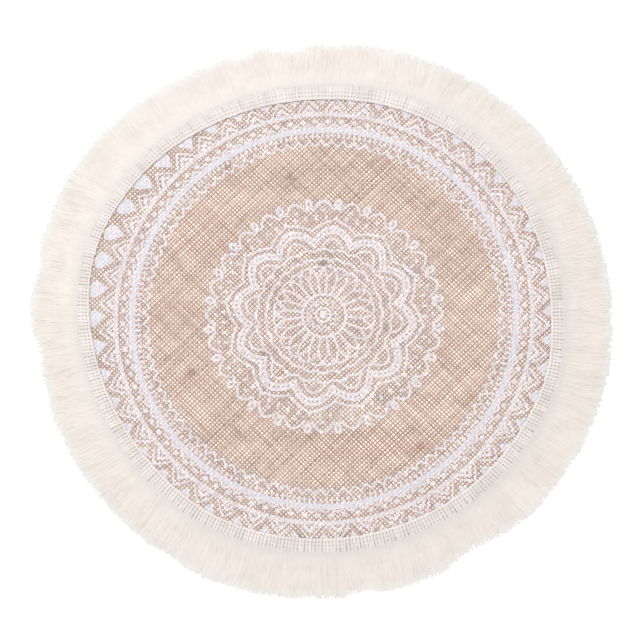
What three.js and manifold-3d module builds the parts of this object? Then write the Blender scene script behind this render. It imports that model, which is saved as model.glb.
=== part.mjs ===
// A round placemat of printed jute hessian, with a cut fringe sewn round its edge.
// Units are millimetres. The mat lies on z = 0 with its printed face up, and +Y is the top of the print.
// A maker cuts two pieces: the jute disc, and a fringe trim whose woven heading is sewn over the disc's rim.

import * as THREE from 'three';
import { mergeVertices } from 'three/addons/utils/BufferGeometryUtils.js';
import Module from 'manifold-3d';

const wasm = await Module();
wasm.setup();

// Driving dimensions of the cloth and of the fringe trim's heading
const CLOTH_THICKNESS = 1.2;
const CLOTH_UNDER_HEADING = 6;
const CLOTH_OUTLINE_POINTS = 180;
const SEAM_GAP = 0.3;
const HEADING_WIDTH = 9;
const HEADING_THICKNESS = 1;
const HEADING_INNER_POINTS = 120;

// Driving dimensions of the fringe: locks of strands that drop from the heading and lie level beyond it
const LOCK_COUNT = 240;
const LOCK_ROOT_DEPTH = 1.5;
const LOCK_DROP_LENGTH = 4.5;
const LOCK_SHORTFALL = 1.2;

// A lock's cross-section at its root, at the foot of its drop, at its middle and at its cut tip
const LOCK_SECTIONS = [
  { width: 3.1, bottom: CLOTH_THICKNESS + SEAM_GAP + 0.1, thickness: 0.8, sway: 0 },
  { width: 3.6, bottom: 0, thickness: 1.2, sway: 0.05 },
  { width: 3.7, bottom: 0, thickness: 1.1, sway: 0.4 },
  { width: 2.6, bottom: 0, thickness: 0.6, sway: 1 },
];
const LOCK_SEGMENTS = LOCK_SECTIONS.length - 1;

// The mat was cut by eye, so it isn't a true circle. Each row holds, at one clock angle in degrees from the
// top of the print, the radius of the heading's inner edge and the radius that the fringe reaches.
const RIM = [
  { clock: 0, edge: 148.0, reach: 185.0 },
  { clock: 15, edge: 149.0, reach: 185.5 },
  { clock: 30, edge: 150.5, reach: 187.3 },
  { clock: 45, edge: 151.8, reach: 188.0 },
  { clock: 60, edge: 151.6, reach: 188.3 },
  { clock: 75, edge: 150.0, reach: 188.0 },
  { clock: 90, edge: 149.1, reach: 188.0 },
  { clock: 105, edge: 150.0, reach: 189.0 },
  { clock: 120, edge: 148.8, reach: 187.8 },
  { clock: 135, edge: 147.8, reach: 187.0 },
  { clock: 150, edge: 147.0, reach: 185.5 },
  { clock: 165, edge: 147.1, reach: 185.2 },
  { clock: 180, edge: 147.5, reach: 185.4 },
  { clock: 195, edge: 148.8, reach: 187.3 },
  { clock: 210, edge: 149.8, reach: 188.0 },
  { clock: 225, edge: 150.0, reach: 188.0 },
  { clock: 240, edge: 150.4, reach: 188.0 },
  { clock: 255, edge: 151.8, reach: 188.5 },
  { clock: 270, edge: 154.2, reach: 191.5 },
  { clock: 285, edge: 157.2, reach: 192.0 },
  { clock: 300, edge: 155.7, reach: 193.0 },
  { clock: 315, edge: 152.9, reach: 190.0 },
  { clock: 330, edge: 150.1, reach: 187.0 },
  { clock: 345, edge: 148.9, reach: 185.5 },
];
const RIM_STEP = RIM[1].clock - RIM[0].clock;

// Where the fringe was trimmed short: a clock angle, the dip's run to each side in degrees, and its depth
const FRINGE_DIPS = [
  { clock: 148, spread: 9, depth: 5.2 },
  { clock: 172, spread: 6, depth: 3.0 },
  { clock: 262, spread: 5, depth: 3.5 },
  { clock: 280, spread: 3, depth: 3.0 },
  { clock: 343, spread: 3, depth: 2.5 },
  { clock: 353, spread: 4, depth: 3.5 },
];

// Waves in the fringe's direction, each as its size at the tips in mm, its number round the mat and its phase
const SWAY_WAVES = [
  { size: 1.2, count: 3, phase: 0.4 },
  { size: 0.9, count: 8, phase: 2.1 },
  { size: 0.5, count: 19, phase: 4.0 },
];
const SWAY_JITTER = 0.35;

// One value of the rim at any clock angle, by a smooth curve through the table's rows
function rimValue(name, clock) {
  const place = clock / RIM_STEP;
  const row = Math.floor(place);
  const t = place - row;
  const value = (offset) => RIM[(row + offset + RIM.length) % RIM.length][name];
  const slopeHere = (value(1) - value(-1)) / 2;
  const slopeNext = (value(2) - value(0)) / 2;
  const start = (1 + 2 * t) * (1 - t) * (1 - t) * value(0) + t * (1 - t) * (1 - t) * slopeHere;
  const end = t * t * (3 - 2 * t) * value(1) - t * t * (1 - t) * slopeNext;
  return start + end;
}

// The radius of the fringe's tips at a clock angle, with the dips taken out
function fringeReach(clock) {
  const cuts = FRINGE_DIPS.map((dip) => {
    const away = Math.min(1, Math.abs(clock - dip.clock) / dip.spread);
    return (dip.depth * (1 + Math.cos(Math.PI * away))) / 2;
  });
  return rimValue('reach', clock) - cuts.reduce((sum, cut) => sum + cut, 0);
}

// A point of the plan at a clock angle in degrees, at a radius from the print's centre
function planPoint(clock, radius) {
  const angle = THREE.MathUtils.degToRad(clock);
  return new THREE.Vector2(radius * Math.sin(angle), radius * Math.cos(angle));
}

// A closed outline at a set distance outside the heading's inner edge, run anticlockwise
function rimOutline(distance, count, shift = 0) {
  const clocks = Array.from({ length: count }, (_, i) => ((count - 1 - i + shift) * 360) / count);
  return clocks.map((clock) => planPoint(clock, rimValue('edge', clock) + distance));
}

function toSolid(geometry) {
  const bare = geometry.clone();
  bare.deleteAttribute('normal');
  bare.deleteAttribute('uv');
  const merged = mergeVertices(bare, 1e-4);
  const vertProperties = Float32Array.from(merged.attributes.position.array);
  const triVerts = Uint32Array.from(merged.index.array);
  return new wasm.Manifold(new wasm.Mesh({ numProp: 3, vertProperties, triVerts }));
}

function toGeometry(solid) {
  const mesh = solid.getMesh();
  const geometry = new THREE.BufferGeometry();
  geometry.setAttribute('position', new THREE.BufferAttribute(mesh.vertProperties, 3));
  geometry.setIndex(new THREE.BufferAttribute(mesh.triVerts, 1));
  geometry.computeVertexNormals();
  return geometry;
}

// The printed cloth: one flat disc whose raw rim ends under the heading
function juteDisc() {
  const outline = new THREE.Shape(rimOutline(CLOTH_UNDER_HEADING, CLOTH_OUTLINE_POINTS));
  return new THREE.ExtrudeGeometry(outline, { depth: CLOTH_THICKNESS, bevelEnabled: false });
}

// The heading: a flat band on top of the cloth. Its outer edge has one facet for each lock.
function heading() {
  const outline = new THREE.Shape(rimOutline(HEADING_WIDTH, LOCK_COUNT, 0.5));
  outline.holes.push(new THREE.Path(rimOutline(0, HEADING_INNER_POINTS)));
  const band = new THREE.ExtrudeGeometry(outline, { depth: HEADING_THICKNESS, bevelEnabled: false });
  return band.translate(0, 0, CLOTH_THICKNESS + SEAM_GAP);
}

// One lock: a four-sided tapering bar, bent at its sections. A box of that many segments gives its corners.
function fringeLock(index) {
  const clock = (index * 360) / LOCK_COUNT;
  const rootRadius = rimValue('edge', clock) + HEADING_WIDTH - LOCK_ROOT_DEPTH;
  const footRadius = rootRadius + LOCK_ROOT_DEPTH + LOCK_DROP_LENGTH;
  const tipRadius = fringeReach(clock) - LOCK_SHORTFALL * THREE.MathUtils.seededRandom(index);
  const radii = [rootRadius, footRadius, (footRadius + tipRadius) / 2, tipRadius];
  const angle = THREE.MathUtils.degToRad(clock);
  const waves = SWAY_WAVES.map((wave) => wave.size * Math.sin(wave.count * angle + wave.phase));
  const jitter = SWAY_JITTER * (2 * THREE.MathUtils.seededRandom(index + LOCK_COUNT) - 1);
  const tipSway = waves.reduce((sum, wave) => sum + wave, jitter);

  const bar = new THREE.BoxGeometry(1, LOCK_SEGMENTS, 1, 1, LOCK_SEGMENTS, 1);
  const corners = bar.attributes.position;
  for (let i = 0; i < corners.count; i += 1) {
    const step = Math.round(corners.getY(i) + LOCK_SEGMENTS / 2);
    const section = LOCK_SECTIONS[step];
    const across = corners.getX(i) * section.width + tipSway * section.sway;
    const height = section.bottom + (corners.getZ(i) + 0.5) * section.thickness;
    corners.setXYZ(i, across, radii[step], height);
  }
  return bar.rotateZ(-angle);
}

// The fringe trim: the heading with every lock fused into its outer edge
function fringeTrim() {
  const locks = Array.from({ length: LOCK_COUNT }, (_, index) => toSolid(fringeLock(index)));
  const trim = locks.reduce((whole, lock) => whole.add(lock), toSolid(heading()));
  return toGeometry(trim);
}

const juteMaterial = new THREE.MeshStandardMaterial({ color: 0xd6beb0, roughness: 0.95, metalness: 0 });
const fringeMaterial = new THREE.MeshStandardMaterial({ color: 0xf2eae0, roughness: 0.85, metalness: 0 });

const disc = new THREE.Mesh(juteDisc(), juteMaterial);
disc.name = 'jute_disc';

const trim = new THREE.Mesh(fringeTrim(), fringeMaterial);
trim.name = 'fringe_trim';

// The origin is under the middle of the whole outline, so the print's own centre lies a little off it
const placemat = new THREE.Group();
placemat.add(disc, trim);
const middle = new THREE.Box3().setFromObject(placemat).getCenter(new THREE.Vector3());
disc.position.set(-middle.x, -middle.y, 0);
trim.position.set(-middle.x, -middle.y, 0);

export default placemat;
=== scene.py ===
import math
import bmesh
import bpy
import numpy as np
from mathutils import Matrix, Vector


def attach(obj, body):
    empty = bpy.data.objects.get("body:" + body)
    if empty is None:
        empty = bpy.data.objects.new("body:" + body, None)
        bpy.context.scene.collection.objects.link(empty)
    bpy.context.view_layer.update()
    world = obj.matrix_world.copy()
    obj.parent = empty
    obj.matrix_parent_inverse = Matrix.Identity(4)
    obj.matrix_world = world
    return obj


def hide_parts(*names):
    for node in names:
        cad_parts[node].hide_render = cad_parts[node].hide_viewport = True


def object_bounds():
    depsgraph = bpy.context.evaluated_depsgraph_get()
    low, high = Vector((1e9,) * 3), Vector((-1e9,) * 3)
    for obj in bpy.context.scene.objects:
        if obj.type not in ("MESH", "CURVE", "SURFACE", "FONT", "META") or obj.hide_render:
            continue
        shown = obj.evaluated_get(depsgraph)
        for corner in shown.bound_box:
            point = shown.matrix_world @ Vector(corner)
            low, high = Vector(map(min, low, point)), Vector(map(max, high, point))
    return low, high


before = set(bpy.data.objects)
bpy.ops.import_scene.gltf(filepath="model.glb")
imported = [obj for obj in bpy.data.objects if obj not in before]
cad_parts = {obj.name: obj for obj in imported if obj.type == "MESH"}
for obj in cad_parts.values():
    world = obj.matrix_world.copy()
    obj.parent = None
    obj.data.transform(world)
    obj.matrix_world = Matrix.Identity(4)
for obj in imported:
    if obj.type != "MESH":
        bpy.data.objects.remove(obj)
cad_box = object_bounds()

# The camera. The mat was photographed from almost straight above, from its near side, through a long lens.
# It looks at a point a little left of and nearer than the print's centre.
MM = 0.001
PRINT_X, PRINT_Y = 1.76, 0.28
CAMERA_TILT = math.radians(12)
CAMERA_DISTANCE = 1827 * MM
CAMERA_LENS = 157.1
AIM_LEFT, AIM_NEAR = 2.6, 3.5

camera_data = bpy.data.cameras.new("camera")
camera_data.lens = CAMERA_LENS
camera = bpy.data.objects.new("camera", camera_data)
aim = Vector(((PRINT_X - AIM_LEFT) * MM, (PRINT_Y - AIM_NEAR) * MM, 0))
towards_camera = Vector((0, -math.sin(CAMERA_TILT), math.cos(CAMERA_TILT)))
camera.location = aim + CAMERA_DISTANCE * towards_camera
camera.rotation_euler = (CAMERA_TILT, 0, 0)
bpy.context.collection.objects.link(camera)
bpy.context.scene.camera = camera

# The jute disc. Open plain-weave hessian of single jute yarns, uneven and slubby, and the table shows in its
# gaps. It was printed white and cut on the cross, so both sets of yarns run at 45 degrees to the print, and
# its raw rim is sewn under the trim's heading. Disc and trim are in mm, measured from the print's centre.
WARP_NORMAL, WEFT_NORMAL = math.radians(45.4), math.radians(-45.6)
WARP_PITCH, WEFT_PITCH = 2.05, 2.23
WARP_PHASE, WEFT_PHASE = 0.3, 0.1
YARN_HALF_WIDTH, YARN_HALF_THICKNESS = 0.62, 0.29
YARN_SECTION = np.radians((90, 162, 234, 306, 378))
YARN_REACH = 170
CLOTH_MIDDLE, YARN_RISE = 0.61, 0.30
CLOTH_UNDER_HEADING = 5

# How the yarns vary. A spread is from yarn to yarn, and a drift is a wavelength along the yarn and a size.
PLACE_SPREAD, PLACE_DRIFT = 0.05, (26, 0.10)
THICKNESS_SPREAD, THICKNESS_DRIFT = 0.07, (9, 0.10)
SHADE_SPREAD, SHADE_DRIFTS = 0.35, ((40, 0.5), (7, 0.45))

# Knots and thick dark slubs: where each is and how far it reaches, and how thick and dark they make a yarn
KNOTS = (
    (-0.7, 33.4, 2.2), (-64.2, 99.9, 1.8), (-22.5, 93.1, 1.5),
    (-86.6, -38.7, 1.6), (-39.8, -25.5, 1.2), (62, -88, 1.4),
)
KNOT_SWELL, KNOT_SHADE = 0.35, 2.2

# The heading's inner edge, as radii at every 15 degrees clockwise from the print's top
RIM_STEP = 15
HEADING_EDGE = (
    146.4, 147.6, 148.9, 150.3, 150.2, 149.2, 148.7, 150.1, 148.9, 148.1, 147.3, 147.2,
    147.9, 149.0, 150.0, 149.2, 149.3, 150.8, 153.5, 155.9, 154.2, 151.6, 148.5, 146.7,
)


def rim(radii, clock):
    """A radius at clock angles in degrees, on a smooth curve through a list of them."""
    radii = np.array(radii)
    row = np.floor(clock / RIM_STEP).astype(int)
    t = clock / RIM_STEP - row
    before, here, after, later = (radii[(row + step) % len(radii)] for step in (-1, 0, 1, 2))
    start = (1 + 2 * t) * (1 - t) ** 2 * here + t * (1 - t) ** 2 * (after - before) / 2
    return start + t * t * (3 - 2 * t) * after - t * t * (1 - t) * (later - here) / 2


def clock_of(x, y):
    """The clock angle of a point, in degrees clockwise from the print's top."""
    return np.degrees(np.arctan2(x, y)) % 360


def plan(warp_place, weft_place):
    """Where two yarns of the slightly pulled weave cross, from each one's distance to the print's centre."""
    turn = math.sin(WEFT_NORMAL - WARP_NORMAL)
    x = (warp_place * math.sin(WEFT_NORMAL) - weft_place * math.sin(WARP_NORMAL)) / turn
    y = (weft_place * math.cos(WARP_NORMAL) - warp_place * math.cos(WEFT_NORMAL)) / turn
    pull = 0.45 * np.sin(x / 31 + 1.1) * np.cos(y / 43) + 0.3 * np.sin(y / 19 + 0.4)
    return x + pull, y + 0.4 * np.sin(x / 37 + 2.0)


def drift(rng, places, wavelength, size):
    """A smooth random curve along a yarn."""
    span = places[-1] - places[0] + 3 * wavelength
    knots = rng.normal(0, size, int(span / wavelength) + 3)
    at = (places - places[0]) / wavelength + rng.random()
    row = at.astype(int)
    ease = (1 - np.cos(np.pi * (at - row))) / 2
    return knots[row] * (1 - ease) + knots[row + 1] * ease


def tubes(paths, half_width, half_height, section):
    """Corners and faces of closed tubes along paths[tube, ring, xyz]. Their width lies level."""
    count, rings, _ = paths.shape
    sides = section.shape[-1]
    run = np.gradient(paths, axis=1)[..., :2]
    run /= np.linalg.norm(run, axis=-1, keepdims=True)
    corners = np.repeat(paths[:, :, None], sides, axis=2)
    corners[..., 0] -= run[..., 1:] * np.cos(section) * half_width[..., None]
    corners[..., 1] += run[..., :1] * np.cos(section) * half_width[..., None]
    corners[..., 2] += np.sin(section) * half_height[..., None]
    number = np.arange(count * rings * sides).reshape(count, rings, sides)
    following = np.roll(number, -1, axis=2)
    walls = np.stack([number[:, :-1], following[:, :-1], following[:, 1:], number[:, 1:]], axis=-1)
    ends = np.concatenate([number[:, 0, ::-1], number[:, -1]])
    return corners.reshape(-1, 3), walls.reshape(-1, 4).tolist() + ends.tolist()


def mesh_of(name, points, faces):
    """A mesh from points in mm about the print's centre."""
    mesh = bpy.data.meshes.new(name)
    mesh.from_pydata((points + (PRINT_X, PRINT_Y, 0)) * MM, [], faces)
    return mesh


def numbers(items, fact, kind=float, width=1):
    """One fact of all of a mesh's points, corners or faces, as an array with a row for each."""
    values = np.empty(len(items) * width, dtype=kind)
    items.foreach_get(fact, values)
    return values.reshape(-1, width)


def make_piece(mesh, facts, smooth=True):
    """A piece that rides with the mat. Its walls are smooth and its ends flat, and facts are by point."""
    walls = numbers(mesh.polygons, "loop_total", int)[:, 0] == 4
    mesh.polygons.foreach_set("use_smooth", walls & smooth)
    for fact, values in facts.items():
        mesh.attributes.new(fact, "FLOAT", "POINT").data.foreach_set("value", np.asarray(values, np.float32))
    piece = bpy.data.objects.new(mesh.name, mesh)
    bpy.context.collection.objects.link(piece)
    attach(piece, "root")
    return piece


# A flat texture map's two squares: where each starts and its size. A face looks up from LEAST_RISE on.
UPPER_START, UPPER_SIZE = 0.005, 0.71
UNDER_START, UNDER_SIZE = 0.725, 0.27
LEAST_RISE = 0.05


def flat_map(piece):
    """A flat texture map: what faces up fills most of it, and what faces down a small square beside that."""
    mesh = piece.data
    low, high = (np.array(corner)[:2] for corner in cad_box)
    corners = numbers(mesh.loops, "vertex_index", int)[:, 0]
    share = (numbers(mesh.vertices, "co", width=3)[corners, :2] - low) / (high - low)
    faces_up = numbers(mesh.polygons, "normal", width=3)[:, 2] > LEAST_RISE
    up = np.repeat(faces_up, numbers(mesh.polygons, "loop_total", int)[:, 0])[:, None]
    spot = np.where(up, UPPER_START + share * UPPER_SIZE, UNDER_START + share * UNDER_SIZE)
    mesh.uv_layers.new(name="OFBake").data.foreach_set("uv", spot.ravel())


def woven_yarns(name, own_pitch, own_phase, other_pitch, other_phase, is_warp, rng):
    """One set of yarns, each passing over and under the other set, out to just past the heading's edge."""
    reach = int(YARN_REACH / min(own_pitch, other_pitch))
    crossings = np.arange(-reach, reach + 1)
    marks = crossings * other_pitch
    all_points, all_faces, tone, lift = [], [], [], []
    for yarn in crossings:
        own = np.full(len(crossings), (yarn + own_phase) * own_pitch) + rng.normal(0, PLACE_SPREAD)
        own = own + drift(rng, marks, *PLACE_DRIFT)
        other = (crossings + other_phase) * other_pitch
        x, y = plan(own, other) if is_warp else plan(other, own)
        inside = np.hypot(x, y) < rim(HEADING_EDGE, clock_of(x, y)) + CLOTH_UNDER_HEADING
        if inside.sum() < 3:
            continue
        over = np.where((yarn + crossings) % 2 == (0 if is_warp else 1), 1, -1)
        height = CLOTH_MIDDLE + over * YARN_RISE
        path = np.stack([x, y, height], axis=-1)[inside]
        knotted = 0
        for knot_x, knot_y, size in KNOTS:
            knotted = knotted + np.exp(-((x - knot_x) ** 2 + (y - knot_y) ** 2) / (2 * size * size))
        slub = drift(rng, marks, *THICKNESS_DRIFT) + rng.normal(0, THICKNESS_SPREAD)
        slub = np.exp(slub + KNOT_SWELL * knotted)[inside]
        half_height = np.full_like(slub, YARN_HALF_THICKNESS)
        points, faces = tubes(path[None], YARN_HALF_WIDTH * slub[None], half_height[None], YARN_SECTION)
        start = sum(len(block) for block in all_points)
        all_faces += [[start + corner for corner in face] for face in faces]
        all_points.append(points)
        shade = sum(drift(rng, marks, *wave) for wave in SHADE_DRIFTS) + rng.normal(0, SHADE_SPREAD)
        shade = shade + np.maximum(slub.mean() - 1, 0) + KNOT_SHADE * knotted
        tone.append(np.repeat(shade[inside], len(YARN_SECTION)))
        # How far up round the yarn each corner is: the material paints shade where it is low and lays ink
        # where it is high
        lift.append(np.tile(np.sin(YARN_SECTION), inside.sum()))
    facts = {"tone": np.concatenate(tone), "lift": np.concatenate(lift)}
    piece = make_piece(mesh_of(name, np.concatenate(all_points), all_faces), facts)
    flat_map(piece)
    return piece


# The print on the disc: a mandala in opaque white ink, screened on the jute before it was cut. It is a
# ringed medallion of petals, arches and scallops, and a wide border of chevrons, lace and solid rings.
SOFT_EDGE = 0.3


def clamp(value):
    return np.minimum(np.maximum(value, 0), 1)


def within(distance, half_width):
    """1 where a distance is less than half_width, with a soft edge."""
    return clamp((half_width - np.abs(distance)) / SOFT_EDGE + 0.5)


def ring(radius, inner, outer):
    return within(radius - (inner + outer) / 2, (outer - inner) / 2)


def repeat(angle, count, first):
    """How far an angle is from the nearest of count motifs, from -0.5 to 0.5 of the step between them."""
    turns = (angle - math.radians(first)) * (count / math.tau)
    return turns - np.floor(turns + 0.5)


def around(share, count, radius):
    """The arc that a share of a motif's step spans at a radius."""
    return share * radius * (math.tau / count)


def drop(angle, count, first, radius, middle, half_wide, half_tall):
    """Count oval drops round the circle, each given by its middle's radius and its half width and height."""
    across = around(repeat(angle, count, first), count, radius) / half_wide
    along = (radius - middle) / half_tall
    return within(np.sqrt(across * across + along * along) * half_wide, half_wide)


def mandala(x, y):
    """The ink at a point, more than 1 where it lies thick over the gaps between yarns. It takes NumPy arrays
    or a material's own numbers."""
    # The cloth was pulled a little out of square after it was printed
    x, y = x * 1.0019 - y * 0.0042 - 0.11, y - x * 0.0054 + 0.66
    radius = np.sqrt(x * x + y * y)
    angle = np.arctan2(x + 0.65, y - 1.0)

    # The eye, a little off centre: a dot, a ring, a line of twelve lobes with a bead in each, and a circle
    eye = np.sqrt((x + 0.6) ** 2 + (y - 0.4) ** 2)
    eye_angle = np.arctan2(x + 0.6, y - 0.4)
    ink = within(eye, 2.5)
    ink = np.maximum(ink, within(eye - 4.7, 0.8))
    lobe = repeat(eye_angle, 12, -7.7) * 2
    ink = np.maximum(ink, within(eye - 7.8 - lobe * lobe * 3.5, 0.8))
    ink = np.maximum(ink, drop(eye_angle, 12, -7.7, eye, 10.6, 0.7, 0.7))
    ink = np.maximum(ink, within(radius - 14.3, 0.85))

    # 24 spokes that part into arches, each over the feet of the next two, and a wavy line round them
    spoke = around(repeat(angle, 24, 6.4), 24, radius)
    ink = np.maximum(ink, np.minimum(within(spoke, 0.72), ring(radius, 14, 27)))
    near = np.abs(repeat(angle, 24, 7.6))
    far = 1 - near
    ink = np.maximum(ink, within(radius - 33.2 + near ** 2.8 * 11.2, 0.71))
    arch = within((radius - 33.2 + far ** 2.8 * 11.2) / (far ** 1.8 * 3.9 + 0.7), 0.54)
    ink = np.maximum(ink, np.minimum(arch, ring(radius, 25.8, 34)))
    wave = repeat(angle, 24, -0.75) * 2
    ink = np.maximum(ink, within(radius - 38.4 + wave * wave * 1.5, 0.81))

    # A scalloped base line, and on it twelve arches: a half-moon, a pricked band, and an outer line
    wave = repeat(angle, 24, -0.3) * 2
    ink = np.maximum(ink, within(radius - 44.8 + wave * wave * 1.8, 0.76))
    lobe = np.abs(repeat(angle, 12, 7.2)) * 2
    square = lobe * lobe
    moon = within((radius - 51.8 + square * 18.5) / (lobe * 1.1 + 1), 0.7)
    ink = np.maximum(ink, np.minimum(moon, clamp((radius - 44.5) / SOFT_EDGE)))
    band = radius - 58.3 + lobe * 2.4 + square * 7.0
    prick = around(repeat(angle, 132, 0.9), 132, radius)
    hole = within(np.sqrt(prick * prick + band * band), 0.8)
    ink = np.maximum(ink, within(band / (square * 0.2 + 1), 2.75) - hole)
    tip = clamp(0.12 - lobe) * 9
    ink = np.maximum(ink, within(radius - 64.6 - tip + lobe * 3.9 + square * 3.3, 0.85))

    # 60 drops, 24 scallops with a dot in each, and a pierced oval on a small arc where two scallops meet
    ink = np.maximum(ink, drop(angle, 60, 1.55, radius, 66.2, 0.8, 1.9) * clamp(lobe * -40 + 36))
    ink = np.maximum(ink, drop(angle, 24, -0.1, radius, 71.0, 1.3, 0.9))
    scallop = np.abs(repeat(angle, 24, -0.1)) * 2
    curve = within((radius - 77.4 + scallop ** 1.7 * 10.6) / (scallop * 0.6 + 1), 0.8)
    ink = np.maximum(ink, np.minimum(curve, clamp(11.2 - scallop * 15)))
    oval = drop(angle, 24, 7.4, radius, 75.9, 2.55, 3.3) - drop(angle, 24, 7.4, radius, 75.7, 0.8, 1.5)
    ink = np.maximum(ink, oval)
    foot = 1 - scallop
    arc = within(radius - 72.6 + foot * foot * 18, 0.72)
    ink = np.maximum(ink, np.minimum(arc, clamp(foot * -30 + 9.5)))

    # The border's lace edge: a zigzag of 98 points, and a row of fine bars under the ring
    point = 1 - np.abs(repeat(angle, 98, -1.05)) * 2
    ink = np.maximum(ink, within((radius - 115.0 - point ** 1.6 * 3.8) / (point * 0.6 + 1), 0.66))
    bar = around(repeat(angle, 217, 1.3), 217, radius)
    bar = within(bar, 0.84 - clamp(radius - 121.9) * 0.35)
    ink = np.maximum(ink, np.minimum(bar, ring(radius, 120.6, 124.2)))

    # The inner ring with 96 small hills on it, a bead in each notch, and the outer ring
    ink = np.maximum(ink, ring(radius, 124.15, 127.0) * 2)
    hill = np.abs(repeat(angle, 96, -0.75)) * 2
    crest = 130.5 - hill ** 1.4 * 2.9
    hills = np.minimum(clamp((crest + 0.4 - radius) / SOFT_EDGE), clamp((radius - 126) / SOFT_EDGE))
    ink = np.maximum(ink, hills * 0.92)
    ink = ink - np.minimum(within(radius - crest + 1.9, 0.35), clamp(5 - hill * 10))
    ink = np.maximum(ink, drop(angle, 96, 1.27, radius, 131.8, 1.9, 1.55) * 0.95)
    ink = np.maximum(ink, ring(radius, 135.3, 138.0) * 0.85)

    # 48 chevrons of two lines on the outer ring, and a kite in each gap between their points
    crest = around(repeat(angle, 48, 3.3), 48, radius) - 0.4 + (radius - 138.3) * 0.09
    crest = np.sqrt(crest * crest + 0.4)
    slope = radius + crest * 1.15 + np.maximum(crest - 6.2, 0) * 0.9
    chevron = within((slope - 147.7) / 1.5, 0.6)
    chevron = np.maximum(chevron, within((slope - 142.7) / 1.5, 0.9))
    chevron = np.maximum(chevron, clamp((139.7 - slope) / SOFT_EDGE))
    ink = np.maximum(ink, np.minimum(chevron, clamp((radius - 137.6) / SOFT_EDGE)))
    kite = np.abs(around(repeat(angle, 48, -0.45), 48, radius) - 0.4 + (radius - 143) * 0.17)
    side = np.minimum(0.35 + (radius - 143.3) * 0.74, (156.3 - radius) * 2.2)
    side = np.minimum(side, 5.4)
    kites = clamp((side - kite) / SOFT_EDGE + 0.5) * clamp((radius - 142.6) / SOFT_EDGE)
    ink = np.maximum(ink, kites * 1.6)
    return np.maximum(ink, 0)


class ShaderNumber(np.lib.mixins.NDArrayOperatorsMixin):
    """A number in a material. NumPy's sums on it make Math nodes, so one drawing serves finish and mesh."""

    NODES = {
        "add": "ADD", "subtract": "SUBTRACT", "multiply": "MULTIPLY", "divide": "DIVIDE",
        "power": "POWER", "sqrt": "SQRT", "absolute": "ABSOLUTE", "floor": "FLOOR",
        "minimum": "MINIMUM", "maximum": "MAXIMUM", "arctan2": "ARCTAN2",
    }

    def __init__(self, tree, socket):
        self.tree = tree
        self.socket = socket

    def __array_ufunc__(self, ufunc, method, *values):
        node = self.tree.nodes.new("ShaderNodeMath")
        node.operation = self.NODES[ufunc.__name__]
        for place, value in enumerate(values):
            if isinstance(value, ShaderNumber):
                self.tree.links.new(value.socket, node.inputs[place])
            else:
                node.inputs[place].default_value = float(value)
        return ShaderNumber(self.tree, node.outputs[0])


# The print's ragged edge: how fine its ripples are and how far they reach. Then the bare band between the
# medallion and the border: its radii, and how softly the haze ends there.
RAGGED_SCALE, RAGGED_REACH = 900, 0.8
BARE_START, BARE_END, BARE_FADE = 80, 112, 3


def print_group():
    """The mandala for a material: its ink, with the ragged edge that coarse yarn leaves, and its haze, which
    is 1 among the lines of the medallion and the border and 0 on the bare band between them."""
    tree = bpy.data.node_groups.new("mandala print", "ShaderNodeTree")
    tree.interface.new_socket(name="Ink", in_out="OUTPUT", socket_type="NodeSocketFloat")
    tree.interface.new_socket(name="Haze", in_out="OUTPUT", socket_type="NodeSocketFloat")
    place = tree.nodes.new("ShaderNodeTexCoord")
    split = tree.nodes.new("ShaderNodeSeparateXYZ")
    tree.links.new(place.outputs["Object"], split.inputs[0])
    ragged = tree.nodes.new("ShaderNodeTexNoise")
    ragged.inputs["Scale"].default_value = RAGGED_SCALE
    ragged.inputs["Detail"].default_value = 1
    tree.links.new(place.outputs["Object"], ragged.inputs["Vector"])
    shift = tree.nodes.new("ShaderNodeSeparateColor")
    tree.links.new(ragged.outputs["Color"], shift.inputs[0])
    across, upward = (ShaderNumber(tree, split.outputs[axis]) / MM for axis in (0, 1))
    ripple_x, ripple_y = ((ShaderNumber(tree, shift.outputs[axis]) - 0.5) * RAGGED_REACH for axis in (0, 1))
    x = across - PRINT_X + ripple_x
    y = upward - PRINT_Y + ripple_y
    end = tree.nodes.new("NodeGroupOutput")
    tree.links.new(mandala(x, y).socket, end.inputs[0])
    radius = np.sqrt(x * x + y * y)
    haze = clamp((BARE_START - radius) / BARE_FADE) + clamp((radius - BARE_END) / BARE_FADE)
    tree.links.new(haze.socket, end.inputs[1])
    return tree


def shader_of(material):
    """A new material's node tree and its shader."""
    material.use_nodes = True
    return material.node_tree, material.node_tree.nodes["Principled BSDF"]


def attribute(tree, name):
    node = tree.nodes.new("ShaderNodeAttribute")
    node.attribute_name = name
    return ShaderNumber(tree, node.outputs["Fac"])


def blend(tree, share, first, second):
    """A colour between two others, each a socket or a tuple, by a share that is a number in the material."""
    node = tree.nodes.new("ShaderNodeMix")
    node.data_type = "RGBA"
    tree.links.new(share.socket, node.inputs["Factor"])
    for name, colour in (("A", first), ("B", second)):
        socket = next(item for item in node.inputs if item.name == name and item.type == "RGBA")
        if isinstance(colour, tuple):
            socket.default_value = (*colour, 1)
        else:
            tree.links.new(colour, socket)
    return next(item for item in node.outputs if item.type == "RGBA")


def noise(tree, scale, detail=2, turn=0, stretch=1):
    """Noise on Object coordinates, turned about the upright and stretched along its own x."""
    place = tree.nodes.new("ShaderNodeTexCoord")
    mapping = tree.nodes.new("ShaderNodeMapping")
    mapping.inputs["Rotation"].default_value = (0, 0, turn)
    mapping.inputs["Scale"].default_value = (1 / stretch, 1, 1)
    texture = tree.nodes.new("ShaderNodeTexNoise")
    texture.inputs["Scale"].default_value = scale
    texture.inputs["Detail"].default_value = detail
    tree.links.new(place.outputs["Object"], mapping.inputs["Vector"])
    tree.links.new(mapping.outputs["Vector"], texture.inputs["Vector"])
    return ShaderNumber(tree, texture.outputs["Fac"])


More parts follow.
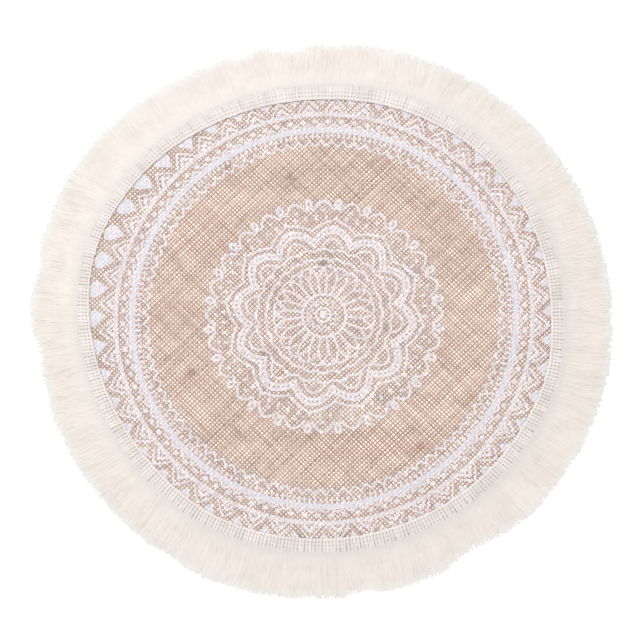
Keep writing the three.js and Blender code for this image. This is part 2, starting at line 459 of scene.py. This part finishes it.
def bump(tree, shader, height, strength, distance):
    node = tree.nodes.new("ShaderNodeBump")
    node.inputs["Strength"].default_value = strength
    node.inputs["Distance"].default_value = distance
    tree.links.new(height.socket, node.inputs["Height"])
    tree.links.new(node.outputs["Normal"], shader.inputs["Normal"])


JUTE_PALE, JUTE_DARK, JUTE_RED = (0.60, 0.457, 0.385), (0.335, 0.234, 0.181), (0.46, 0.275, 0.22)
INK, INK_THICK, INK_THIN = (0.895, 0.848, 0.903), (0.745, 0.74, 0.818), (0.69, 0.655, 0.68)
INK_HAZE = (0.33, 0.34, 0.41)
FIBRE_SCALE, FIBRE_STRETCH, FIBRE_RELIEF = 2600, 9, 0.12
STREAK_SCALE, STREAK_STRETCH = 95, 14
KNOT_TONE = 1.4
HAZE_SHARE, KNOT_CLEARING = 0.18, 0.15
mandala_print = print_group()


def jute_material(name, turn):
    material = bpy.data.materials.new(name)
    tree, shader = shader_of(material)

    # The jute, darker in streaks and fibres, red in places and at knots, and painted with shade on a yarn's
    # lower sides and underside
    tone = attribute(tree, "tone")
    lift = attribute(tree, "lift")
    fibres = noise(tree, FIBRE_SCALE, 2, turn, FIBRE_STRETCH)
    streaks = noise(tree, STREAK_SCALE, 3, turn, STREAK_STRETCH)
    dark = clamp(0.58 + tone * 0.33 + (streaks - 0.5) * 1.5 + (fibres - 0.5) * 0.9 - lift * 0.45)
    knot = clamp(tone - KNOT_TONE)
    red = clamp((noise(tree, 60, 2, turn, 10) - 0.52) * 5) * 0.55 + knot * 0.45
    jute = blend(tree, red, blend(tree, dark, JUTE_PALE, JUTE_DARK), JUTE_RED)

    # A grey film of ink among the print's lines, less on knots
    group = tree.nodes.new("ShaderNodeGroup")
    group.node_tree = mandala_print
    haze = ShaderNumber(tree, group.outputs["Haze"]) * (HAZE_SHARE - knot * KNOT_CLEARING)
    jute = blend(tree, haze, jute, INK_HAZE)

    # The ink itself, on the yarns' tops only, worn and thin in specks
    ink = ShaderNumber(tree, group.outputs["Ink"])
    worn = clamp(noise(tree, 700, 2) * 2.2 - 0.25)
    cover = clamp(ink * clamp(lift * 2.1 + 0.05)) * (worn * 0.2 + 0.8)
    full = clamp(noise(tree, 420, 3) * 4 - 1.5)
    white = blend(tree, full, INK_THIN, blend(tree, clamp(ink - 1), INK, INK_THICK))
    tree.links.new(blend(tree, cover, jute, white), shader.inputs["Base Color"])
    shader.inputs["Roughness"].default_value = 0.9
    shader.inputs["Sheen Weight"].default_value = 0.15
    shader.inputs["Sheen Roughness"].default_value = 0.6
    bump(tree, shader, fibres, 0.5, FIBRE_RELIEF * MM)
    return material


warp_weave, weft_weave = (WARP_PITCH, WARP_PHASE), (WEFT_PITCH, WEFT_PHASE)
jute_warp = woven_yarns("jute_warp", *warp_weave, *weft_weave, True, np.random.default_rng(11))
jute_weft = woven_yarns("jute_weft", *weft_weave, *warp_weave, False, np.random.default_rng(12))
jute_warp.data.materials.append(jute_material("jute warp, printed", WARP_NORMAL + math.pi / 2))
jute_weft.data.materials.append(jute_material("jute weft, printed", WEFT_NORMAL + math.pi / 2))
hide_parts("jute_disc")
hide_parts("jute_disc")

# The ink's webs. Where the print is solid the thick ink bridges the gaps between yarns with a thin sunken
# film. Here and there it dried grey and thin, and here and there it left a pinhole, painted as a spot of
# shade.
WEB_HALF, WEB_REACH = 0.66, 160
WEBS_UNDER_HEADING = 1
WEB_LEVEL, WEB_LEVEL_SPREAD, WEB_SAG, WEB_THICKNESS = 0.80, 0.03, 0.12, 0.06

# The least ink that bridges a gap and the least that counts as thick, the share of gaps that each leaves
# open, and the spots round a gap's middle where the ink is taken
BRIDGING_INK, THICK_INK = 0.36, 1.2
OPEN_SHARE, THICK_OPEN_SHARE = 0.45, 0.03
GAP_SPOTS = ((0, 0), (0.5, 0), (-0.5, 0), (0, 0.5), (0, -0.5))


def ink_webs(rng):
    """One web in each inked gap: a small square with a sunken middle."""
    reach = int(WEB_REACH / WARP_PITCH)
    warp, weft = np.meshgrid(np.arange(-reach, reach), np.arange(-reach, reach))
    x, y = plan((warp + 0.5 + WARP_PHASE) * WARP_PITCH, (weft + 0.5 + WEFT_PHASE) * WEFT_PITCH)
    ink = np.mean([mandala(x + right, y + up) for right, up in GAP_SPOTS], axis=0)
    open_share = np.where(ink > THICK_INK, THICK_OPEN_SHARE, OPEN_SHARE)
    inked = (ink > BRIDGING_INK) & (rng.random(x.shape) > open_share)
    inked &= np.hypot(x, y) < rim(HEADING_EDGE, clock_of(x, y)) + WEBS_UNDER_HEADING
    x, y, ink = x[inked], y[inked], ink[inked]
    centre = np.stack([x, y], axis=-1)[:, None]
    count = len(centre)
    corners = WEB_HALF * math.sqrt(2) * np.array([[1, 0], [0, 1], [-1, 0], [0, -1], [0, 0], [0, 0]])
    level = WEB_LEVEL + rng.normal(0, WEB_LEVEL_SPREAD, (count, 1))
    sag = WEB_SAG * rng.random((count, 1))
    middle = level - sag
    heights = np.concatenate([np.repeat(level, 4, axis=1), middle, middle - WEB_THICKNESS], axis=1)
    points = np.concatenate([centre + corners, heights[..., None]], axis=-1).reshape(-1, 3)
    upper = [[0, 1, 4], [1, 2, 4], [2, 3, 4], [3, 0, 4]]
    lower = [[1, 0, 5], [2, 1, 5], [3, 2, 5], [0, 3, 5]]
    faces = (np.array(upper + lower)[None] + 6 * np.arange(count)[:, None, None]).reshape(-1, 3)

    # The ink is thin at a web's middle, less so where it was laid on thick, and where it is most sunken the
    # middle is painted dark as a pinhole's shade
    dimple = rng.random(count) ** 0.6 * np.where(ink > THICK_INK, 0.55, 1)
    thin_and_shaded = dimple[:, None] * (0.1, 0.1, 0.1, 0.1, 1, 1)
    facts = {"thin_and_shaded": thin_and_shaded.ravel(), "ink": np.repeat(ink, 6)}
    piece = make_piece(mesh_of("ink_webs", points, faces.tolist()), facts)
    flat_map(piece)
    return piece


# A pinhole's colour: painted shade, at a web's most sunken middle
PINHOLE_SHADE = (0.32, 0.26, 0.24)


def ink_material():
    material = bpy.data.materials.new("opaque white ink")
    tree, shader = shader_of(material)
    # Grey thin ink towards a web's middle, and a pinhole's painted shade where it is most sunken
    dimple = attribute(tree, "thin_and_shaded") + (noise(tree, 900, 2) - 0.5) * 0.5
    ink = blend(tree, clamp(attribute(tree, "ink") * 2 - 1.7), INK, INK_THICK)
    ink = blend(tree, clamp(dimple * 1.2 + 0.15), ink, INK_THIN)
    tree.links.new(blend(tree, clamp(dimple * 4 - 1.8), ink, PINHOLE_SHADE), shader.inputs["Base Color"])
    shader.inputs["Roughness"].default_value = 0.7
    bump(tree, shader, noise(tree, 2500, 2), 0.3, 0.05 * MM)
    return material


webs = ink_webs(np.random.default_rng(13))
webs.data.materials.append(ink_material())
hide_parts("jute_disc")

# The trim's heading. A band of plied cream yarns laid side by side, bound by rows of stitches that pinch
# them into ribs with small dark holes between, and sewn flat over the jute's raw rim.
RIB_COUNT = 428
RIB_SECTION = np.radians((10, 50, 90, 130, 170, 250, 290))
HEADING_FLOOR, RIB_LIFT = 1.28, 0.1
# The band under the ribs: its inset, reach and thickness, and its tone, which is painted shade for the holes
# between the ribs
BASE_INSET, BASE_REACH, BASE_THICKNESS, BASE_PAINTED_SHADE = 0.5, 9.0, 0.36, 3

# Each row is a ring along a rib of a heading RIB_LENGTH wide: its distance from the heading's inner edge,
# half its width, its crown's height, and how dark it is painted, most at the pinched rows as the stitches'
# holes' shade
RIB_LENGTH = 9
RIB_RINGS = np.array([
    (-0.35, 0.90, 1.56, -1.0),
    (0.05, 1.34, 1.84, -1.2),
    (0.55, 1.42, 2.04, -1.0),
    (1.08, 1.36, 2.08, -0.6),
    (1.95, 0.72, 2.00, 0.5),
    (2.82, 1.38, 2.10, -0.4),
    (3.38, 1.38, 2.10, -0.4),
    (4.25, 0.78, 2.02, 0.5),
    (5.12, 1.40, 2.10, -0.3),
    (5.73, 1.43, 2.10, -0.3),
    (6.60, 1.00, 2.02, 0.3),
    (7.42, 1.46, 2.09, -0.1),
    (7.85, 1.40, 2.06, 0.0),
    (8.40, 1.06, 1.97, 0.3),
    (9.00, 1.45, 1.90, 0.2),
    (9.70, 1.40, 1.62, 0.0),
])

# The heading's width at every 15 degrees clockwise: the fringe covers more of it in some places
HEADING_WIDTH = (
    9.7, 10.1, 9.6, 8.1, 7.6, 8.8, 8.8, 8.9, 8.9, 9.0, 9.3, 9.5,
    9.2, 9.1, 9.3, 9.5, 9.3, 9.0, 8.8, 7.4, 7.8, 9.0, 9.6, 10.0,
)

# How the ribs vary in their place round the mat, where they start, their slant, thickness and shade. They
# are thinnest at the clock angle where the band was drawn tightest.
RIB_PLACE_SPREAD, RIB_START_SPREAD, RIB_SLANT_SPREAD = 0.035, 0.12, 0.008
RIB_THICKNESS_SPREAD, RIB_SHADE_SPREAD = 0.05, 0.35
RIB_FULLNESS, RIB_TIGHTENING, TIGHTEST_CLOCK = 1.02, 0.11, 163


def polar(clock, radius):
    angle = np.radians(clock)
    return radius * np.sin(angle), radius * np.cos(angle)


def heading_ribs(rng):
    clock = (np.arange(RIB_COUNT) + rng.normal(0, RIB_PLACE_SPREAD, RIB_COUNT)) * 360 / RIB_COUNT
    edge = rim(HEADING_EDGE, clock % 360) + rng.normal(0, RIB_START_SPREAD, RIB_COUNT)
    distance, half_width, crown, dark = RIB_RINGS.T
    width = rim(HEADING_WIDTH, clock % 360) / RIB_LENGTH
    slanted = clock[:, None] + distance * rng.normal(0, RIB_SLANT_SPREAD, (RIB_COUNT, 1))
    x, y = polar(slanted, edge[:, None] + distance * width[:, None])
    middle = (crown + HEADING_FLOOR) / 2 + RIB_LIFT
    paths = np.stack([x, y, np.broadcast_to(middle, x.shape)], axis=-1)
    fullness = RIB_FULLNESS - RIB_TIGHTENING * np.cos(np.radians(clock - TIGHTEST_CLOCK))
    swell = np.exp(rng.normal(0, RIB_THICKNESS_SPREAD, x.shape)) * fullness[:, None]
    points, faces = tubes(paths, half_width * swell, (crown - middle) * swell, RIB_SECTION)
    # A rib's random shade, with each row's painted shade from the stitches' holes
    tone = np.repeat(rng.normal(0, RIB_SHADE_SPREAD, (RIB_COUNT, 1)) + dark, len(RIB_SECTION))
    return make_piece(mesh_of("heading_ribs", points, faces), {"tone": tone})


def round_band(name, clock, corners, facts):
    """A closed band round the mat. Its section is spun, and each corner goes to its own radii and height."""
    radii = np.stack([radius for radius, _ in corners], axis=-1)
    heights = np.array([height for _, height in corners])
    x, y = polar(clock[:, None], radii)
    places = np.stack([x, y, np.broadcast_to(heights, x.shape)], axis=-1).reshape(-1, 3)
    band = bmesh.new()
    section = [band.verts.new(place) for place in places[:len(corners)]]
    sides = [band.edges.new(ends) for ends in zip(section, section[1:] + section[:1])]
    bmesh.ops.spin(
        band, geom=section + sides, axis=(0, 0, -1), angle=math.tau, steps=len(clock), use_merge=True,
    )
    for corner, place in zip(band.verts, (places + (PRINT_X, PRINT_Y, 0)) * MM):
        corner.co = place
    bmesh.ops.recalc_face_normals(band, faces=band.faces)
    mesh = bpy.data.meshes.new(name)
    band.to_mesh(mesh)
    band.free()
    piece = make_piece(mesh, facts)
    flat_map(piece)
    return piece


def heading_base():
    """The shallow band under the ribs, painted dark as the shade in the holes between them."""
    clock = np.arange(0, 360, 1.0)
    inner, outer = (rim(HEADING_EDGE, clock) + distance for distance in (BASE_INSET, BASE_REACH))
    top = HEADING_FLOOR + BASE_THICKNESS
    corners = ((inner, HEADING_FLOOR), (outer, HEADING_FLOOR), (outer, top), (inner, top))
    tone = np.full(len(clock) * len(corners), BASE_PAINTED_SHADE)
    return round_band("heading_base", clock, corners, {"tone": tone})


def cream_material(name, pale, dark, root=None, tip=None):
    """Soft mottled cream yarn, which may have other colours at its root and tip."""
    material = bpy.data.materials.new(name)
    tree, shader = shader_of(material)
    tone = attribute(tree, "tone")
    share = clamp(0.5 + tone * 0.3 + (noise(tree, 350, 3) - 0.5) * 0.5 + (noise(tree, 80, 3) - 0.5) * 1.6)
    colour = blend(tree, share, pale, dark)
    if root:
        # Darker towards the root: partly the heading yarn's own tone, partly painted shade where the strands
        # leave the heading
        colour = blend(tree, clamp(attribute(tree, "along") * 4), root, colour)
        colour = blend(tree, clamp(attribute(tree, "along") * 7 - 5.7), colour, tip)
    tree.links.new(colour, shader.inputs["Base Color"])
    shader.inputs["Roughness"].default_value = 0.8
    shader.inputs["Sheen Weight"].default_value = 0.2
    bump(tree, shader, noise(tree, 3000, 2), 0.3, 0.08 * MM)
    return material


HEADING_PALE, HEADING_DARK = (0.777, 0.717, 0.681), (0.63, 0.575, 0.54)
ribs = heading_ribs(np.random.default_rng(21))
base = heading_base()
heading_finish = cream_material("heading yarn", HEADING_PALE, HEADING_DARK)
ribs.data.materials.append(heading_finish)
base.data.materials.append(heading_finish)
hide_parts("fringe_trim")
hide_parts("fringe_trim")

# The fringe. The heading's yarns run on as soft cream strands, cut by eye. They drop off the rim and lie
# level on the table as one dense mat of fibres with looser strands on top, and a few places are cut short.
FRINGE_FOOT = 19.0
TRIM_EXTRA = 2.2
BED_SHORTFALL, BED_RAGGEDNESS = 3.0, 1.2
STRANDS_PER_RIB, CLUMPS = 14, 260
STRAND_SECTION = np.radians((30, 150, 270))
STRAND_HALF_WIDTH = 0.30
STRAND_START_HEIGHT, STRAND_START_SPREAD = 1.97, 1.2
FALL_START = 0.9

# A strand's rings: how far along it each is, and its taper
STRAND_PLACES = np.array((0, 0.15, 0.38, 0.64, 0.92, 1.0))
STRAND_TAPER = np.array((1.1, 1.1, 1.05, 1.0, 0.85, 0.35))

# How clumps and strands vary: how much shorter they are cut, a clump most at its sides, how far their tips
# stray sideways, how strands curl, thicken and twist, and their shade, with painted shade towards the lamp
# against its brighter light
STRAND_PLACE_SPREAD, CLUMP_REACH = 0.8, 1.5
CLUMP_CUT, CLUMP_SIDE_CUT, STRAND_CUT = 0.6, 0.2, 3.0
CLUMP_STRAY, CLUMP_GATHER, STRAND_STRAY = 0.7, 0.10, 1.9
STRAND_CURL, STRAND_THICKNESS_SPREAD, STRAND_TWIST = 0.5, 0.18, 0.28
CLUMP_SHADE_SPREAD, STRAND_SHADE_SPREAD = 0.22, 0.18
LAMPWARD_SHADE, LAMPWARD_CLOCK = 0.4, 338

# The fringe's reach, as radii at every 15 degrees clockwise
FRINGE_REACH = (
    185.0, 185.5, 187.3, 188.0, 188.3, 188.0, 188.0, 189.0, 187.8, 187.0, 185.5, 185.2,
    185.4, 187.3, 188.0, 188.0, 188.0, 188.5, 191.5, 192.0, 193.0, 190.0, 187.0, 185.5,
)

# Dips in the fringe: clock angle and run to each side in degrees, and depth
FRINGE_DIPS = (
    (2, 4, 2.6), (81, 3, 0.8), (139, 4, 1.5), (148, 9, 5.2), (172, 6, 3.6), (184, 4, 0.8), (213, 4, 1.6),
    (255, 5, 3.0), (262, 5, 3.8), (279, 4, 3.8), (290, 4, 1.9), (343, 3, 2.5), (353, 6, 5.0),
)

# Waves in the fringe's direction: size at the tips, number round the mat, and phase
SWAY_WAVES = ((1.2, 3, 0.4), (2.4, 9, 2.1), (1.7, 21, 4.0), (1.0, 47, 1.0))


def fringe_tips(clock):
    """The radius that the strands' tips reach at clock angles in degrees."""
    reach = rim(FRINGE_REACH, clock) + TRIM_EXTRA
    for dip, spread, depth in FRINGE_DIPS:
        away = np.minimum(1, np.abs(clock - dip) / spread)
        reach = reach - depth * (1 + np.cos(np.pi * away)) / 2
    return reach


def fringe_bed(rng):
    """The dense lower part of the fringe, as one shallow band that falls from the heading to the table."""
    clock = np.arange(0, 360, 0.5)
    edge = rim(HEADING_EDGE, clock)
    foot = edge + rim(HEADING_WIDTH, clock)
    tips = fringe_tips(clock) - BED_SHORTFALL - rng.random(len(clock)) * BED_RAGGEDNESS

    # Its section, from under the heading out to the tips and back over the top
    corners = (
        (edge + 10.2, 0.15), (tips, 0.10), (tips, 0.16), (tips - 2.5, 0.42), (edge + 19, 0.58),
        (edge + 15, 0.88), (edge + 12.5, 1.26), (foot + 1.2, 1.55), (foot - 0.6, 1.85), (edge + 9.2, 1.3),
    )
    along = np.stack([np.clip((radius - edge - 8) / 26, 0, 1) for radius, _ in corners], axis=-1)
    return round_band("fringe_bed", clock, corners, {"along": along.ravel()})


def fringe_strands(name, low, high, rng):
    """One layer of strands between two levels, each a tapering tube from the heading to its cut tip."""
    count = RIB_COUNT * STRANDS_PER_RIB
    clock = (np.arange(count) + rng.normal(0, STRAND_PLACE_SPREAD, count)) * 360 / count % 360
    edge = rim(HEADING_EDGE, clock)
    reach = fringe_tips(clock)

    # Strands belong to clumps, and both were cut unevenly
    clump_edges = np.sort(rng.random(CLUMPS)) * 360
    clump = np.searchsorted(clump_edges, clock) % CLUMPS
    centres = (clump_edges + np.roll(clump_edges, 1)) / 2
    centres[0] = clump_edges[0] / 2
    off_centre = np.clip(centres[clump] - clock, -CLUMP_REACH, CLUMP_REACH)
    reach = reach - rng.random(CLUMPS)[clump] * CLUMP_CUT - np.abs(off_centre) * CLUMP_SIDE_CUT
    reach = reach - rng.random(count) ** 1.7 * STRAND_CUT

    # Each starts near the heading's outer edge, and strays sideways and towards its clump's middle
    width = rim(HEADING_WIDTH, clock)
    distance = width - STRAND_START_SPREAD + rng.random(count) * 2 * STRAND_START_SPREAD
    radius = edge[:, None] + distance[:, None] + (reach - edge - distance)[:, None] * STRAND_PLACES
    angle = np.radians(clock)
    sway = sum(size * np.sin(number * angle + phase) for size, number, phase in SWAY_WAVES)
    clump_sway = rng.normal(0, CLUMP_STRAY, CLUMPS)[clump]
    gather = np.radians(off_centre) * reach * CLUMP_GATHER
    tip_shift = sway + clump_sway + gather + rng.normal(0, STRAND_STRAY, count)
    curl = rng.normal(0, STRAND_CURL, (count, 1))
    curl = curl * np.sin(STRAND_PLACES * 5 + rng.random((count, 1)) * 6) * STRAND_PLACES
    shift = tip_shift[:, None] * STRAND_PLACES ** 1.6 + curl
    x, y = polar(clock[:, None] + np.degrees(shift / radius), radius)

    # It drops off the heading in an easy curve to its own level, which is reached at the fringe's foot
    lie = low + (high - low) * rng.random((count, 1))
    start = width[:, None] - FALL_START
    fallen = np.clip((radius - edge[:, None] - start) / (FRINGE_FOOT - start), 0, 1)
    fallen = fallen * fallen * (3 - 2 * fallen)
    height = STRAND_START_HEIGHT * (1 - fallen) + lie * fallen * (1 - 0.35 * STRAND_PLACES)
    paths = np.stack([x, y, height], axis=-1)
    taper = STRAND_TAPER * np.exp(rng.normal(0, STRAND_THICKNESS_SPREAD, (count, 1)))
    half_height = np.minimum(STRAND_HALF_WIDTH * 0.5 * taper, (height - 0.02) * 1.9)
    section = STRAND_SECTION + rng.normal(0, STRAND_TWIST, (count, 1, 1))
    points, faces = tubes(paths, STRAND_HALF_WIDTH * taper, half_height, section)

    # Their shades differ most at their tips, and towards the lamp they are painted darker against its
    # brighter light
    lampward = np.maximum(np.cos(np.radians(clock - LAMPWARD_CLOCK)), 0) ** 2
    clump_tone = rng.normal(0, CLUMP_SHADE_SPREAD, CLUMPS)[clump] + LAMPWARD_SHADE * lampward
    tone = (rng.normal(0, STRAND_SHADE_SPREAD, count) + clump_tone)[:, None] * (0.7 + STRAND_PLACES)
    sides = len(STRAND_SECTION)
    facts = {"tone": np.repeat(tone, sides), "along": np.tile(np.repeat(STRAND_PLACES, sides), count)}
    return make_piece(mesh_of(name, points, faces), facts, smooth=False)


FRINGE_PALE, FRINGE_DARK = (0.797, 0.74, 0.687), (0.722, 0.665, 0.611)
FRINGE_ROOT, FRINGE_TIP = (0.707, 0.657, 0.62), (0.755, 0.75, 0.738)
strands_finish = cream_material("fringe strands", FRINGE_PALE, FRINGE_DARK, FRINGE_ROOT, FRINGE_TIP)
layers = [fringe_bed(np.random.default_rng(31))]
for name, low, high, seed in (("fringe_lower", 0.55, 0.72, 32), ("fringe_upper", 0.68, 0.92, 33)):
    layers.append(fringe_strands(name, low, high, np.random.default_rng(seed)))
for layer in layers:
    layer.data.materials.append(strands_finish)
    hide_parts("fringe_trim")

# The table and the light. A white surface that also glows a little, as it does in an overexposed photograph;
# the glow is painted light, tinted cream so that the gaps between yarns look lit by light bounced off the
# jute. It lies under one broad soft lamp from the far left and an even white surround. Their sizes are in
# metres.
TABLE_HALF = 3.0
table_top = bmesh.new()
bmesh.ops.create_grid(table_top, x_segments=1, y_segments=1, size=TABLE_HALF)
table_mesh = bpy.data.meshes.new("table")
table_top.to_mesh(table_mesh)
table_top.free()
table = bpy.data.objects.new("table", table_mesh)
bpy.context.collection.objects.link(table)
table_finish = bpy.data.materials.new("white table")
table_shader = shader_of(table_finish)[1]
table_shader.inputs["Base Color"].default_value = (0.9, 0.9, 0.9, 1)
table_shader.inputs["Roughness"].default_value = 0.9
# A painted glow, cream like light bounced off the jute into the gaps between yarns
table_shader.inputs["Emission Color"].default_value = (1, 0.805, 0.69, 1)
table_shader.inputs["Emission Strength"].default_value = 0.75
table_mesh.materials.append(table_finish)

lamp_data = bpy.data.lights.new("soft lamp", "AREA")
lamp_data.shape = "DISK"
lamp_data.size = 1.4
lamp_data.energy = 20
lamp = bpy.data.objects.new("soft lamp", lamp_data)
lamp.location = (-0.7, 0.9, 1.5)
lamp.rotation_euler = (-lamp.location).to_track_quat("-Z", "Y").to_euler()
bpy.context.collection.objects.link(lamp)

world = bpy.data.worlds.new("white surround")
world.use_nodes = True
world.node_tree.nodes["Background"].inputs["Color"].default_value = (1, 1, 1, 1)
world.node_tree.nodes["Background"].inputs["Strength"].default_value = 0.84
bpy.context.scene.world = world
bpy.context.scene.view_settings.view_transform = "Standard"
